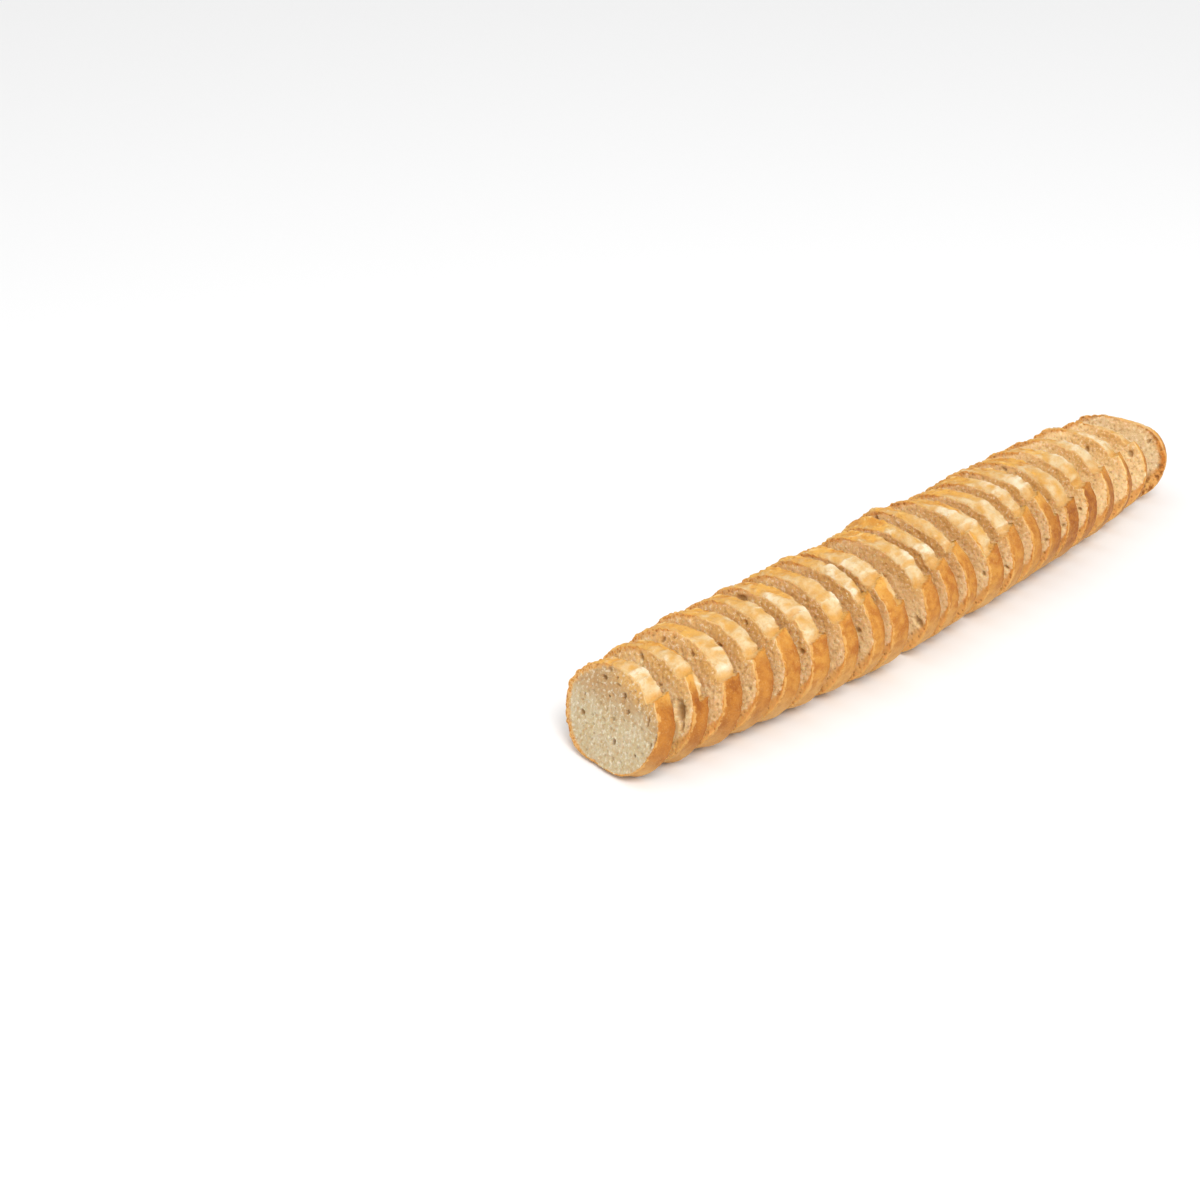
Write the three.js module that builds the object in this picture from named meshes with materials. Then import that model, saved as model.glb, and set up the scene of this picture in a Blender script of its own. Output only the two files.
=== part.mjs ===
// A sliced baguette: 21 slices and the rounded heel, standing in a row that keeps the loaf's shape.
// Millimetres, +Z up, +X along the row from the front slice to the heel, origin under the middle.
import * as THREE from "three";
import { mergeVertices } from "three/addons/utils/BufferGeometryUtils.js";

// Driving dimensions
const LOAF_WIDTH = 78; // at its fattest slice
const HEIGHT_TO_WIDTH = 0.78; // before the base is flattened
const HEEL_LENGTH = 23;
const FOOT_PRESS = 1.3; // how far soft crust is pressed flat where it stands on the table
const FOOT_SHARE = 0.8; // of the pressed depth, at the edge of a leaning slice's flat foot

// Steps between the feet of neighbouring slices, front to back, the last one to the heel
const STEPS = [
  20.0, 18.5, 20.0, 19.0, 19.5, 24.0, 22.0, 15.0, 30.0, 17.0, 17.5,
  21.5, 19.5, 21.0, 16.5, 18.0, 19.5, 23.5, 25.0, 25.0, 22.0,
];
const SLICES = STEPS.length;
// Thicknesses of the slices, cut by hand
const THICKNESSES = [
  10.5, 9.5, 12.0, 11.5, 11.5, 13.0, 11.0, 9.5, 13.5, 11.5, 10.0,
  9.0, 13.0, 12.5, 10.0, 12.0, 13.0, 12.0, 11.0, 10.5, 10.0,
];

// The loaf's taper, with places along it counted in slices
const FATTEST = 10;
const FRONT_TAPER = 0.15; // share of the width lost by slice 1
const FRONT_CURVE = 2.2;
const BACK_TAPER = 0.005; // share lost with each slice behind the fattest
const SHOULDER = 18.0; // where the end starts to round over
const SHOULDER_CURVE = 1.8;
const LOAF_TIP = 23.8;
const HEEL_START = 20.7;

// Cross-section: an oval with a flat baked base
const WIDEST_HEIGHT = 0.53; // share of the height
const TOP_SQUARENESS = 2.12;
const BASE_SQUARENESS = 1.97;
const BASE_FLAT = 0.056; // share of the height taken off below
const BASE_SOFTNESS = 1.2; // rounding where the base turns up into the sides

// How the slices stand: the front ones lean well back, the middle ones stand upright, and the
// last ones lean back again; each is also turned a little, and the row bows sideways
const UPRIGHT_SLICE = 11;
const LEAN_UPRIGHT = -3; // degrees, tops towards the heel
const LEAN_FRONT_SWING = 22;
const LEAN_BACK_SWING = 11.5;
const LEAN_BACK_CURVE = 1.3;
const LEAN_WANDER = 0.7;
const TURN_FRONT = -5.5; // degrees, cut faces towards -Y
const TURN_STEP = 0.4;
const TURN_WANDER = 2;
const HEEL_TURN = 13;
const BOW_FRONT = 0.0153;
const BOW_BACK = 0.0089;
const BOW_CURVE = 1.3;
const BOW_MIDDLE = 166; // along the row

// Slashes across the top, each a torn opening that climbs from the -Y side towards the crown
const SLASH_FIRST = -1.65;
const SLASH_SPACING = 3.55;
const SLASH_LENGTH = 4.1;
const LAST_SLASH_LENGTH = 5.4;
const SLASH_COUNT = 6;
const SLASH_LOW_EDGE = 64; // degrees from the crown, at the slash's near end
const SLASH_CLIMB = 34;
const SLASH_OPENING = 56;
const TEAR_DEPTH = 1.7; // just inside the lower edge
const TEAR_BULGE = 1.1; // where the crumb has pushed out
const EAR_RISE = 1.1; // lip of old skin along the lower edge
const EAR_WIDTH = 9;

// Blisters and humps that stand out of the crust: place in slices, degrees from the crown, rise, reach
const HUMPS = [
  { at: 8.0, angle: -32, rise: 2.0, reach: 20 },
  { at: 11.9, angle: -32, rise: 4.8, reach: 26 },
  { at: 15.8, angle: -38, rise: 1.6, reach: 18 },
  { at: 20.2, angle: -30, rise: 2.8, reach: 24 },
  { at: 21.2, angle: 42, rise: 3.2, reach: 26 },
  { at: 3.6, angle: -60, rise: 1.2, reach: 25 },
  { at: 13.4, angle: 100, rise: 1.0, reach: 25 },
];
const HUMP_SLICES = 0.8;
const BUMP_HEIGHT = 0.25;

// Fineness of the solids
const POINTS_ROUND = 60;
const HEEL_RINGS = 8;

const CRUST = new THREE.MeshStandardMaterial({ color: "#dc9a4c", roughness: 0.75, metalness: 0 });

const toRadians = THREE.MathUtils.degToRad;

// A steady number between -1 and 1 for each pair of numbers
function wander(index, salt) {
  const wave = Math.sin(index * 12.9898 + salt * 78.233) * 43758.5453;
  return 2 * (wave - Math.floor(wave)) - 1;
}

function loafWidth(along) {
  if (along < FATTEST) {
    const ahead = (FATTEST - along) / (FATTEST - 1);
    return LOAF_WIDTH * (1 - FRONT_TAPER * ahead ** FRONT_CURVE);
  }
  const straight = 1 - BACK_TAPER * (along - FATTEST);
  const rounded = Math.max(0, (along - SHOULDER) / (LOAF_TIP - SHOULDER));
  return LOAF_WIDTH * straight * Math.sqrt(Math.max(0, 1 - rounded ** SHOULDER_CURVE));
}

// Rise of the crust at one slash, for a place in slices and degrees from the crown
function slashRise(along, angle, start, length) {
  const progress = (along - start) / length;
  if (progress <= 0 || progress >= 1) return 0;
  const fullness = Math.sqrt(1 - (2 * progress - 1) ** 4);
  const lowEdge = SLASH_LOW_EDGE - SLASH_CLIMB * progress;
  const opening = SLASH_OPENING * fullness;
  const inside = (lowEdge - angle) / opening;
  if (inside < 0) return EAR_RISE * fullness * Math.max(0, 1 - (angle - lowEdge) / EAR_WIDTH);
  if (inside > 1) return 0;
  const bulge = TEAR_BULGE * Math.sin(Math.PI * inside);
  return fullness * (bulge - TEAR_DEPTH * (1 - inside) ** 3);
}

// Rise of the whole crust over the plain section; the slashes stop short of the heel
function crustRise(along, angle, slashed) {
  let rise = 0;
  for (let k = 0; slashed && k < SLASH_COUNT; k++) {
    const length = k < SLASH_COUNT - 1 ? SLASH_LENGTH : LAST_SLASH_LENGTH;
    rise += slashRise(along, angle, SLASH_FIRST + SLASH_SPACING * k, length);
  }
  for (const hump of HUMPS) {
    const reach = Math.hypot((along - hump.at) / HUMP_SLICES, (angle - hump.angle) / hump.reach);
    rise += hump.rise * Math.exp(-reach * reach);
  }
  const round = toRadians(angle);
  const ripple = Math.sin(3.1 * along + 5 * round) + Math.sin(5.3 * along - 3 * round + 1.7);
  return rise + BUMP_HEIGHT * (ripple + Math.sin(1.9 * along + 9 * round + 0.6));
}

// Levels off smoothly where the baked base meets the tray
function softFloor(height) {
  return BASE_SOFTNESS * Math.log1p(Math.exp(height / BASE_SOFTNESS));
}

// One ring of the loaf's outline, standing at x, shrunk about its middle by scale
function outline(x, along, scale = 1, slashed = true) {
  const width = loafWidth(along);
  const height = width * HEIGHT_TO_WIDTH;
  const middle = height * WIDEST_HEIGHT;
  const base = height * BASE_FLAT;
  const ring = [];
  for (let p = 0; p < POINTS_ROUND; p++) {
    const turn = (2 * Math.PI * p) / POINTS_ROUND;
    const c = Math.cos(turn);
    const s = Math.sin(turn);
    const power = 2 / (s > 0 ? TOP_SQUARENESS : BASE_SQUARENESS);
    const y = (Math.sign(c) * Math.abs(c) ** power * width) / 2;
    const z = Math.sign(s) * Math.abs(s) ** power * (s > 0 ? height - middle : middle);
    // Degrees from the crown: positive towards -Y, 180 under the loaf
    const angle = ((THREE.MathUtils.radToDeg(turn) + 90) % 360) - 180;
    const out = 1 + crustRise(along, angle, slashed) / Math.hypot(y, z);
    const up = softFloor(middle - base + z * out * scale);
    ring.push(new THREE.Vector3(x, y * out * scale, up));
  }
  return ring;
}

// A closed body through rings of points, with a flat or pointed cap at each end
function loft(rings) {
  const points = rings.flat();
  const centre = (ring) => {
    const sum = new THREE.Vector3();
    for (const point of ring) sum.add(point);
    return sum.divideScalar(ring.length);
  };
  const first = points.push(centre(rings[0])) - 1;
  const last = points.push(centre(rings[rings.length - 1])) - 1;
  const faces = [];
  const n = POINTS_ROUND;
  for (let p = 0; p < n; p++) {
    const next = (p + 1) % n;
    faces.push(first, next, p);
    for (let r = 0; r + 1 < rings.length; r++) {
      const here = r * n;
      const there = here + n;
      faces.push(here + p, here + next, there + next);
      faces.push(here + p, there + next, there + p);
    }
    const end = (rings.length - 1) * n;
    faces.push(last, end + p, end + next);
  }
  const geometry = new THREE.BufferGeometry().setFromPoints(points);
  geometry.setIndex(faces);
  return geometry;
}

// A slice's middle ring lies where its pressed foot ends, or halfway if all of the base is pressed
function sliceRings(number) {
  const lean = toRadians(leanOf(number));
  const thickness = THICKNESSES[number - 1];
  const footShare = (FOOT_SHARE * FOOT_PRESS) / Math.abs(Math.sin(lean)) / thickness;
  const middleShare = footShare < 0.9 ? (lean > 0 ? 1 - footShare : footShare) : 0.5;
  return [0, middleShare, 1].map((share) =>
    outline(share * thickness, number - 0.5 + share),
  );
}

// The heel's dome closes in a quarter circle
function heelRings() {
  const rings = [];
  for (let r = 0; r < HEEL_RINGS; r++) {
    const swing = (Math.PI / 2) * (r / HEEL_RINGS);
    const along = HEEL_START + 0.3 * Math.sin(swing);
    rings.push(outline(HEEL_LENGTH * Math.sin(swing), along, Math.cos(swing) ** 0.8, false));
  }
  return rings;
}

// Leans and turns a piece, then sets it down with its foot pressed flat on the table
function stand(geometry, lean, turn) {
  const leaning = new THREE.Matrix4().makeRotationY(toRadians(lean));
  const turning = new THREE.Matrix4().makeRotationZ(toRadians(turn));
  geometry.applyMatrix4(leaning).applyMatrix4(turning);
  geometry.computeBoundingBox();
  geometry.translate(0, 0, -geometry.boundingBox.min.z - FOOT_PRESS);
  const places = geometry.attributes.position;
  for (let v = 0; v < places.count; v++) {
    places.setZ(v, Math.max(0, places.getZ(v)));
  }
  const welded = mergeVertices(geometry, 1e-4);
  welded.computeVertexNormals();
  return welded;
}

function leanOf(number) {
  const wandering = LEAN_WANDER * wander(number, 1);
  if (number < UPRIGHT_SLICE) {
    const swing = (1 + Math.cos((Math.PI * (number - 1)) / (UPRIGHT_SLICE - 1))) / 2;
    return LEAN_UPRIGHT + LEAN_FRONT_SWING * swing + wandering;
  }
  const behind = (number - UPRIGHT_SLICE) / (SLICES - UPRIGHT_SLICE);
  return LEAN_UPRIGHT + LEAN_BACK_SWING * behind ** LEAN_BACK_CURVE + wandering;
}

function turnOf(number) {
  if (number > SLICES) return HEEL_TURN;
  return TURN_FRONT + TURN_STEP * (number - 1) + TURN_WANDER * wander(number, 2);
}

function bowOf(x) {
  const rate = x < BOW_MIDDLE ? BOW_FRONT : BOW_BACK;
  return rate * Math.abs(x - BOW_MIDDLE) ** BOW_CURVE;
}

const baguette = new THREE.Group();
baguette.name = "baguette";
let x = 0;
for (let number = 1; number <= SLICES + 1; number++) {
  const isHeel = number > SLICES;
  const body = loft(isHeel ? heelRings() : sliceRings(number));
  const mesh = new THREE.Mesh(stand(body, leanOf(number), turnOf(number)), CRUST.clone());
  mesh.name = isHeel ? "heel" : `slice_${String(number).padStart(2, "0")}`;
  mesh.position.set(x, bowOf(x), 0);
  baguette.add(mesh);
  x += STEPS[number - 1] ?? 0;
}

// The origin lies on the table under the middle of the row
baguette.updateMatrixWorld(true);
const middle = new THREE.Box3().setFromObject(baguette, true).getCenter(new THREE.Vector3());
baguette.position.set(-middle.x, -middle.y, 0);

export default baguette;
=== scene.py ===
import math

import bpy
import numpy as np
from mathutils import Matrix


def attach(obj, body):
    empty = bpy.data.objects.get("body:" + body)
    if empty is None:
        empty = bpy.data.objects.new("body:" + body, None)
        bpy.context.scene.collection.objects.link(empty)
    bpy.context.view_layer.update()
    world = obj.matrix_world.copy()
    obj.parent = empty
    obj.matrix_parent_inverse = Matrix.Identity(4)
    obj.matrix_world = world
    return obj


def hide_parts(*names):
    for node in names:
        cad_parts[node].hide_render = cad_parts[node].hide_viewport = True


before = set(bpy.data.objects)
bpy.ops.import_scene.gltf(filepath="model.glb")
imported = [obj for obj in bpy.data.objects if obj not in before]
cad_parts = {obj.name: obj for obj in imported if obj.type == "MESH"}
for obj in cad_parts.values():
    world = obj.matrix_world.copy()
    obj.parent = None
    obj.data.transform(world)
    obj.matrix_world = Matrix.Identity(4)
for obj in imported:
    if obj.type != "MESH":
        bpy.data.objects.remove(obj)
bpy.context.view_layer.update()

MM = 0.001

# The loaf, as in the solids
LOAF_WIDTH = 78.0
HEIGHT_TO_WIDTH = 0.78
HEEL_LENGTH = 23.0
FOOT_PRESS = 1.3
FOOT_SHARE = 0.8
LONGEST_FOOT = 0.9  # of a slice's thickness; past it all of its base is pressed
STEPS = [
    20.0, 18.5, 20.0, 19.0, 19.5, 24.0, 22.0, 15.0, 30.0, 17.0, 17.5,
    21.5, 19.5, 21.0, 16.5, 18.0, 19.5, 23.5, 25.0, 25.0, 22.0,
]
SLICES = len(STEPS)
THICKNESSES = [
    10.5, 9.5, 12.0, 11.5, 11.5, 13.0, 11.0, 9.5, 13.5, 11.5, 10.0,
    9.0, 13.0, 12.5, 10.0, 12.0, 13.0, 12.0, 11.0, 10.5, 10.0,
]
SLICE_GRAIN = 11.0  # millimetres of loaf that one slice stands for in the crust's pattern
ROW_MIDDLE = (230.158, 3.104)
FATTEST = 10
FRONT_TAPER = 0.15
FRONT_CURVE = 2.2
BACK_TAPER = 0.005
SHOULDER = 18.0
SHOULDER_CURVE = 1.8
LOAF_TIP = 23.8
HEEL_START = 20.7
DOME_GRAIN = 0.3  # slices of loaf that the heel's dome stands for
DOME_CURVE = 0.8
WIDEST_HEIGHT = 0.53
TOP_SQUARENESS = 2.12
BASE_SQUARENESS = 1.97
BASE_FLAT = 0.056
BASE_SOFTNESS = 1.2
UPRIGHT_SLICE = 11
LEAN_UPRIGHT = -3.0
LEAN_FRONT_SWING = 22.0
LEAN_BACK_SWING = 11.5
LEAN_BACK_CURVE = 1.3
LEAN_WANDER = 0.7
TURN_FRONT = -5.5
TURN_STEP = 0.4
TURN_WANDER = 2.0
HEEL_TURN = 13.0
BOW_FRONT = 0.0153
BOW_BACK = 0.0089
BOW_CURVE = 1.3
BOW_MIDDLE = 166.0
SLASH_FIRST = -1.65
SLASH_SPACING = 3.55
SLASH_LENGTH = 4.1
LAST_SLASH_LENGTH = 5.4
SLASH_COUNT = 6
SLASH_LOW_EDGE = 64.0
SLASH_CLIMB = 34.0
SLASH_OPENING = 56.0
LEAST_OPENING = 0.01  # degrees, so that nothing is divided by nought
TEAR_DEPTH = 1.7
TEAR_BULGE = 1.1
EAR_RISE = 1.1
EAR_WIDTH = 9.0
HUMPS = [  # place in slices, degrees from the crown, rise, reach
    (8.0, -32, 2.0, 20),
    (11.9, -32, 4.8, 26),
    (15.8, -38, 1.6, 18),
    (20.2, -30, 2.8, 24),
    (21.2, 42, 3.2, 26),
    (3.6, -60, 1.2, 25),
    (13.4, 100, 1.0, 25),
]
HUMP_SLICES = 0.8
BUMP_HEIGHT = 0.12
RIPPLES = [  # radians to a slice, waves round the loaf, shift in radians
    (3.1, 5, 0.0),
    (5.3, -3, 1.7),
    (1.9, 9, 0.6),
]

# Finer than the solids. Distances and heights are in millimetres.
RAGGED_GRAIN = 9
RAGGED_FINE_GRAIN = 2.2
RAGGED_FINE_SHARE = 0.5
RAGGED_ENDS = 0.06  # unevenness of a slash's ends, in slices
RAGGED_EDGE = 2.2  # of its low edge, in degrees
RAGGED_FADE = 0.15  # of the end of its torn look, in openings
SLASH_FADE = 0.5  # fullness of a slash at which its torn look is whole
TEAR_SPREAD = 0.2  # how far the torn look runs on above an opening, in openings
TEAR_FADE = 0.6  # over how much of an opening it fades
LEDGE_REACH = 0.22  # the baked ledge above a lip, in openings
TEAR_FOLD = 6.5  # between the folds of torn bread
FOLD_STRETCH = (0.55, 1, 1)
CREASE_STRETCH = (0.4, 1, 1)
FOLD_RISE = 1.3
CREASE_RISE = 0.7
TORN_FLAKE_RISE = 0.3
FLAKE_GRAIN = 2.6
BUBBLE_STRETCH = 0.9  # how much longer than wide a bubble may be
BLISTERS = (4.6, 0.8, 2.4, 0.75)  # spacing, smallest, largest, share of places that have one
POCKS = (3.1, 0.5, 1.2, 0.35)
BLISTERS_TOP = 14  # the far side has blisters between these, in degrees from the crown
BLISTERS_TOP_FADE = 24
BLISTERS_BASE = -150
BLISTERS_BASE_FADE = 30
BLISTER_RISE = 0.8
BLISTER_LEVEL = 0.35  # of a blister's height, level with the skin about it
PUFF_RISE = 0.5
SKIN_FLAKE_RISE = 0.12
POCK_DEPTH = 0.2
SWELL_GRAIN = 13
SWELL_RISE = 0.22
GRIT_GRAIN = 1.1
GRIT_RISE = 0.16
TORN_ROUNDING = 2.6  # how far torn bread is rounded off at a cut, and from how far away
TORN_ROUNDING_REACH = 3.8
SKIN_ROUNDING = 0.4
SKIN_ROUNDING_REACH = 0.8
ROUNDING_CURVE = 1.6
FRAY_DEPTH = 0.4  # of a cut's edge
FRAY_GRAIN = 1.6
BROAD_FRAY_DEPTH = 0.2
BROAD_FRAY_GRAIN = 6
FRAY_REACH = 3.0
BIG_PORES = (11.0, 1.0, 2.4, 0.24)  # as for blisters
MIDDLING_PORES = (4.2, 0.5, 1.2, 0.4)
SMALL_PORES = (2.1, 0.35, 0.8, 0.6)
BIG_DEPTH = 1.6
MIDDLING_DEPTH = 0.6
SMALL_DEPTH = 0.3
MIDDLING_DARKNESS = 0.45  # against that of a big pore
ROUGH_DEPTH = 0.22
ROUGH_GRAIN = 1.5
SAG_DEPTH = 0.3  # how far the crumb sinks in from the crust's edge
SAG_GRAIN = 7
SAG_REACH = 3
RIM_SKIN = 1.2  # width of the rim that has no pores
RIM_FADE = 1.5
EDGE_SINK = 0.2  # at a cut's edge the pores are shallow, and deepen over this reach
EDGE_REACH = 1.5
HOLE_WAVE = 0.18
HOLE_WAVE_GRAIN = 1.6
DARK_HOLE = 2  # depth from which a named hole is quite dark

# Fineness of the meshes: points round, rings across the crust, rings across a cut face
FINE_ROUND = 240
FINE_SIDE = 18
FINE_FACE = 38
FINE_BACK = 26
SHOWN_ROUND = 400  # slice 1, whose whole cut face shows
SHOWN_SIDE = 26
SHOWN_FACE = 84
HEEL_SIDE = 44
DOME_SHARE = 0.985  # of the heel's quarter turn, up to its last ring
DOME_RINGS = 8  # of the plain solid
FOOT_ROUND = 60
RIM_CROWDING = 0.95  # under 1, rings of a cut face are a little closer at its middle
CALM_SHAPE = 36  # a cut face's inner rings are evened out over a 36th part of a ring
CALM_FACTS = 30
CALM_SPEED = 4  # and are quite even a quarter of the way in
MIDDLE_RIM = 20.0  # how far a cut face's middle counts as being from its rim

# What the finishes need to know of each crust ring, the places of the two finishes on a
# piece, and what a back face adds to its slice's number, so that its pores are its own
RING_FACTS = ("angle", "torn", "lip", "ledge", "relief", "along", "share")
CRUST_PLACE = 0
CRUMB_PLACE = 1
BACK_FACE = 40

# Millimetres of noise between one cut face and the next, and one cut edge and the next
FACES_APART = 40.0
CUTS_APART = 30.0

# Bread's finish; lengths in millimetres
BREAD_SHINE = 0.2
GLOW_TINT = (1.0, 0.6, 0.3)
GLOW_REACH = 5
CRUST_ROUGHNESS = 0.6
CRUST_GLOW = 0.1
CRUST_BUMP = 0.7
CRUST_BUMP_DEPTH = 0.6
CRUMB_ROUGHNESS = 0.85
CRUMB_GLOW = 0.4
CRUMB_BUMP = 0.6
CRUMB_BUMP_DEPTH = 0.5

# Floor, light and camera; lengths in metres, angles in degrees
FLOOR_REACH = 9.0
FLOOR_WHITE = 0.88
FLOOR_ROUGHNESS = 0.9
FLOOR_SHINE = 0.1
SKY_STRENGTH = 0.92
LAMP_PLACE = (-0.85, -1.1, 1.55)
LAMP_WIDTH = 1.0
LAMP_POWER = 24
SENSOR_WIDTH = 36
LENS = 65.75
VIEW_END = 50
CAMERA_PLACE = (-0.85776, -0.59575, 0.51869)
CAMERA_DOWN = 26.36
CAMERA_TURN = -46.2


def wander(index, salt):
    """A steady number from -1 to 1 for a slice, as in the solids."""
    wave = math.sin(index * 12.9898 + salt * 78.233) * 43758.5453
    return 2 * (wave - math.floor(wave)) - 1


# Noise on arrays of points, the same on every run


def scatter(*cells, seed=0):
    """A steady number from 0 to 1 for each whole-numbered cell."""
    mixed = np.full(np.shape(cells[0]), 374761393 * (seed + 1), dtype=np.uint64)
    for step, cell in zip((668265263, 2246822519, 3266489917), cells):
        mixed ^= (cell.astype(np.int64) & 0xFFFFFFFF).astype(np.uint64) * np.uint64(step)
        mixed = (mixed ^ (mixed >> np.uint64(13))) * np.uint64(1274126177)
        mixed &= np.uint64(0xFFFFFFFF)
    mixed ^= mixed >> np.uint64(16)
    return (mixed & np.uint64(0xFFFFFF)).astype(float) / 0xFFFFFF


def ease(share):
    share = np.clip(share, 0, 1)
    return share * share * (3 - 2 * share)


def cloud(points, grain, seed=0):
    """Smooth noise from -1 to 1 whose lumps are about one grain apart."""
    scaled = points / grain
    base = np.floor(scaled)
    part = ease(scaled - base)
    total = 0
    for corner in np.ndindex(2, 2, 2):
        weight = 1
        for axis, high in enumerate(corner):
            weight = weight * (part[:, axis] if high else 1 - part[:, axis])
        cell = base + np.array(corner)
        total = total + weight * scatter(cell[:, 0], cell[:, 1], cell[:, 2], seed=seed)
    return 2 * total - 1


def layered(points, grain, seed=0, layers=3):
    """Clouds of half the grain each time, one on another."""
    total = 0
    for layer in range(layers):
        total = total + cloud(points, grain / 2**layer, seed + layer) / 2**layer
    return total / (2 - 0.5 ** (layers - 1))


def bubbles(flat, spacing, smallest, largest, share, seed=0):
    """Round bubbles on a plane or an unrolled skin: 1 at a bubble's middle, 0 outside all."""
    base = np.floor(flat / spacing)
    best = np.zeros(len(flat))
    for du in (-1, 0, 1):
        for dv in (-1, 0, 1):
            cell = base + (du, dv)
            chance = scatter(cell[:, 0], cell[:, 1], seed=seed)
            centre_u = cell[:, 0] + scatter(cell[:, 0], cell[:, 1], seed=seed + 1)
            centre_v = cell[:, 1] + scatter(cell[:, 0], cell[:, 1], seed=seed + 2)
            size = smallest + (largest - smallest) * (
                scatter(cell[:, 0], cell[:, 1], seed=seed + 3) ** 2
            )
            lean = math.pi * scatter(cell[:, 0], cell[:, 1], seed=seed + 4)
            long = 1 + BUBBLE_STRETCH * scatter(cell[:, 0], cell[:, 1], seed=seed + 5)
            away_u = flat[:, 0] - centre_u * spacing
            away_v = flat[:, 1] - centre_v * spacing
            along = (away_u * np.cos(lean) + away_v * np.sin(lean)) / long
            across = away_v * np.cos(lean) - away_u * np.sin(lean)
            reach = np.hypot(along, across) / size
            found = np.where(chance < share, 1 - reach * reach, 0)
            best = np.maximum(best, found)
    return np.sqrt(np.clip(best, 0, 1))


# The loaf's form


def loaf_width(along):
    ahead = np.clip((FATTEST - along) / (FATTEST - 1), 0, None)
    front = 1 - FRONT_TAPER * ahead**FRONT_CURVE
    straight = 1 - BACK_TAPER * np.clip(along - FATTEST, 0, None)
    rounded = np.clip((along - SHOULDER) / (LOAF_TIP - SHOULDER), 0, None)
    return LOAF_WIDTH * front * straight * np.sqrt(np.clip(1 - rounded**SHOULDER_CURVE, 0, None))


def slashes(along, angle, ragged, count):
    """Rise of the crust at the slashes, and how torn and how near a lip each point is."""
    rise = np.zeros_like(angle)
    torn = np.zeros_like(angle)
    lip = np.zeros_like(angle)
    ledge = np.zeros_like(angle)
    for k in range(count):
        start = SLASH_FIRST + SLASH_SPACING * k
        length = SLASH_LENGTH if k < SLASH_COUNT - 1 else LAST_SLASH_LENGTH
        progress = np.clip((along + RAGGED_ENDS * ragged - start) / length, 0, 1)
        fullness = np.sqrt(np.clip(1 - (2 * progress - 1) ** 4, 0, 1))
        low_edge = SLASH_LOW_EDGE - SLASH_CLIMB * progress + RAGGED_EDGE * ragged
        opening = np.maximum(SLASH_OPENING * fullness, LEAST_OPENING)
        inside = (low_edge - angle) / opening
        live = fullness > 0
        outside = np.clip(1 - (angle - low_edge) / EAR_WIDTH, 0, 1)
        ear = np.where(live & (inside < 0), EAR_RISE * fullness * outside, 0)
        bulge = TEAR_BULGE * np.sin(np.pi * np.clip(inside, 0, 1))
        dip = TEAR_DEPTH * np.clip(1 - inside, 0, 1) ** 3
        open_here = live & (inside >= 0) & (inside <= 1)
        rise += ear + np.where(open_here, fullness * (bulge - dip), 0)
        spread = live & (inside >= 0) & (inside <= 1 + TEAR_SPREAD)
        ends = ease(fullness / SLASH_FADE)
        fade = ease((1 + TEAR_SPREAD - inside + RAGGED_FADE * ragged) / TEAR_FADE) * ends
        torn = np.maximum(torn, np.where(spread, fade, 0))
        near = np.clip(1 - inside / LEDGE_REACH, 0, 1) * ends
        ledge = np.where(spread, np.maximum(ledge, near), ledge)
        lip = np.maximum(lip, np.where(live & (inside < 0), fullness * outside, 0))
    return rise, torn, lip, ledge


def crust_rise(along, angle, ragged, slashed):
    """Rise of the crust above the plain oval, with what slashes() says of each point."""
    count = SLASH_COUNT if slashed else 0  # the slashes stop short of the heel
    rise, torn, lip, ledge = slashes(along, angle, ragged, count)
    for at, place, height, reach in HUMPS:
        away = np.hypot((along - at) / HUMP_SLICES, (angle - place) / reach)
        rise = rise + height * np.exp(-away * away)
    turn = np.radians(angle)
    ripple = sum(np.sin(a * along + b * turn + shift) for a, b, shift in RIPPLES)
    return rise + BUMP_HEIGHT * ripple, torn, lip, ledge


def calm(values, reach):
    """Values round a ring, evened out over so many points to either side."""
    level = np.ones(2 * reach + 1) / (2 * reach + 1)
    for _ in range(2):
        wrapped = np.concatenate([values[-reach:], values, values[:reach]])
        values = np.convolve(wrapped, level, "valid")
    return values


def crust_relief(spot, angle, torn, width):
    """Fine relief: folds and creases in torn bread, blisters and pocks in the skin."""
    folds = layered(spot * FOLD_STRETCH, TEAR_FOLD, seed=11)
    creases = 1 - 2 * np.abs(cloud(spot * CREASE_STRETCH, TEAR_FOLD / 2, seed=14))
    flakes = layered(spot, FLAKE_GRAIN, seed=21, layers=2)
    unrolled = np.column_stack([spot[:, 0], np.radians(angle) * width / 2])
    blisters = bubbles(unrolled, *BLISTERS, seed=31)
    pocks = bubbles(unrolled, *POCKS, seed=41)
    far_side = ease((BLISTERS_TOP - angle) / BLISTERS_TOP_FADE)
    far_side = far_side * ease((angle - BLISTERS_BASE) / BLISTERS_BASE_FADE)
    bread = FOLD_RISE * folds + CREASE_RISE * creases + TORN_FLAKE_RISE * flakes
    puffs = BLISTER_RISE * (blisters - BLISTER_LEVEL) + PUFF_RISE * folds
    skin = far_side * puffs + SKIN_FLAKE_RISE * flakes - POCK_DEPTH * pocks
    return torn * bread + (1 - torn) * skin


def edge_wear(cut_away, reach):
    """From 1 at a cut face to 0 at the reach of its rounding."""
    return np.clip(1 - cut_away / reach, 0, 1) ** ROUNDING_CURVE


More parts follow.
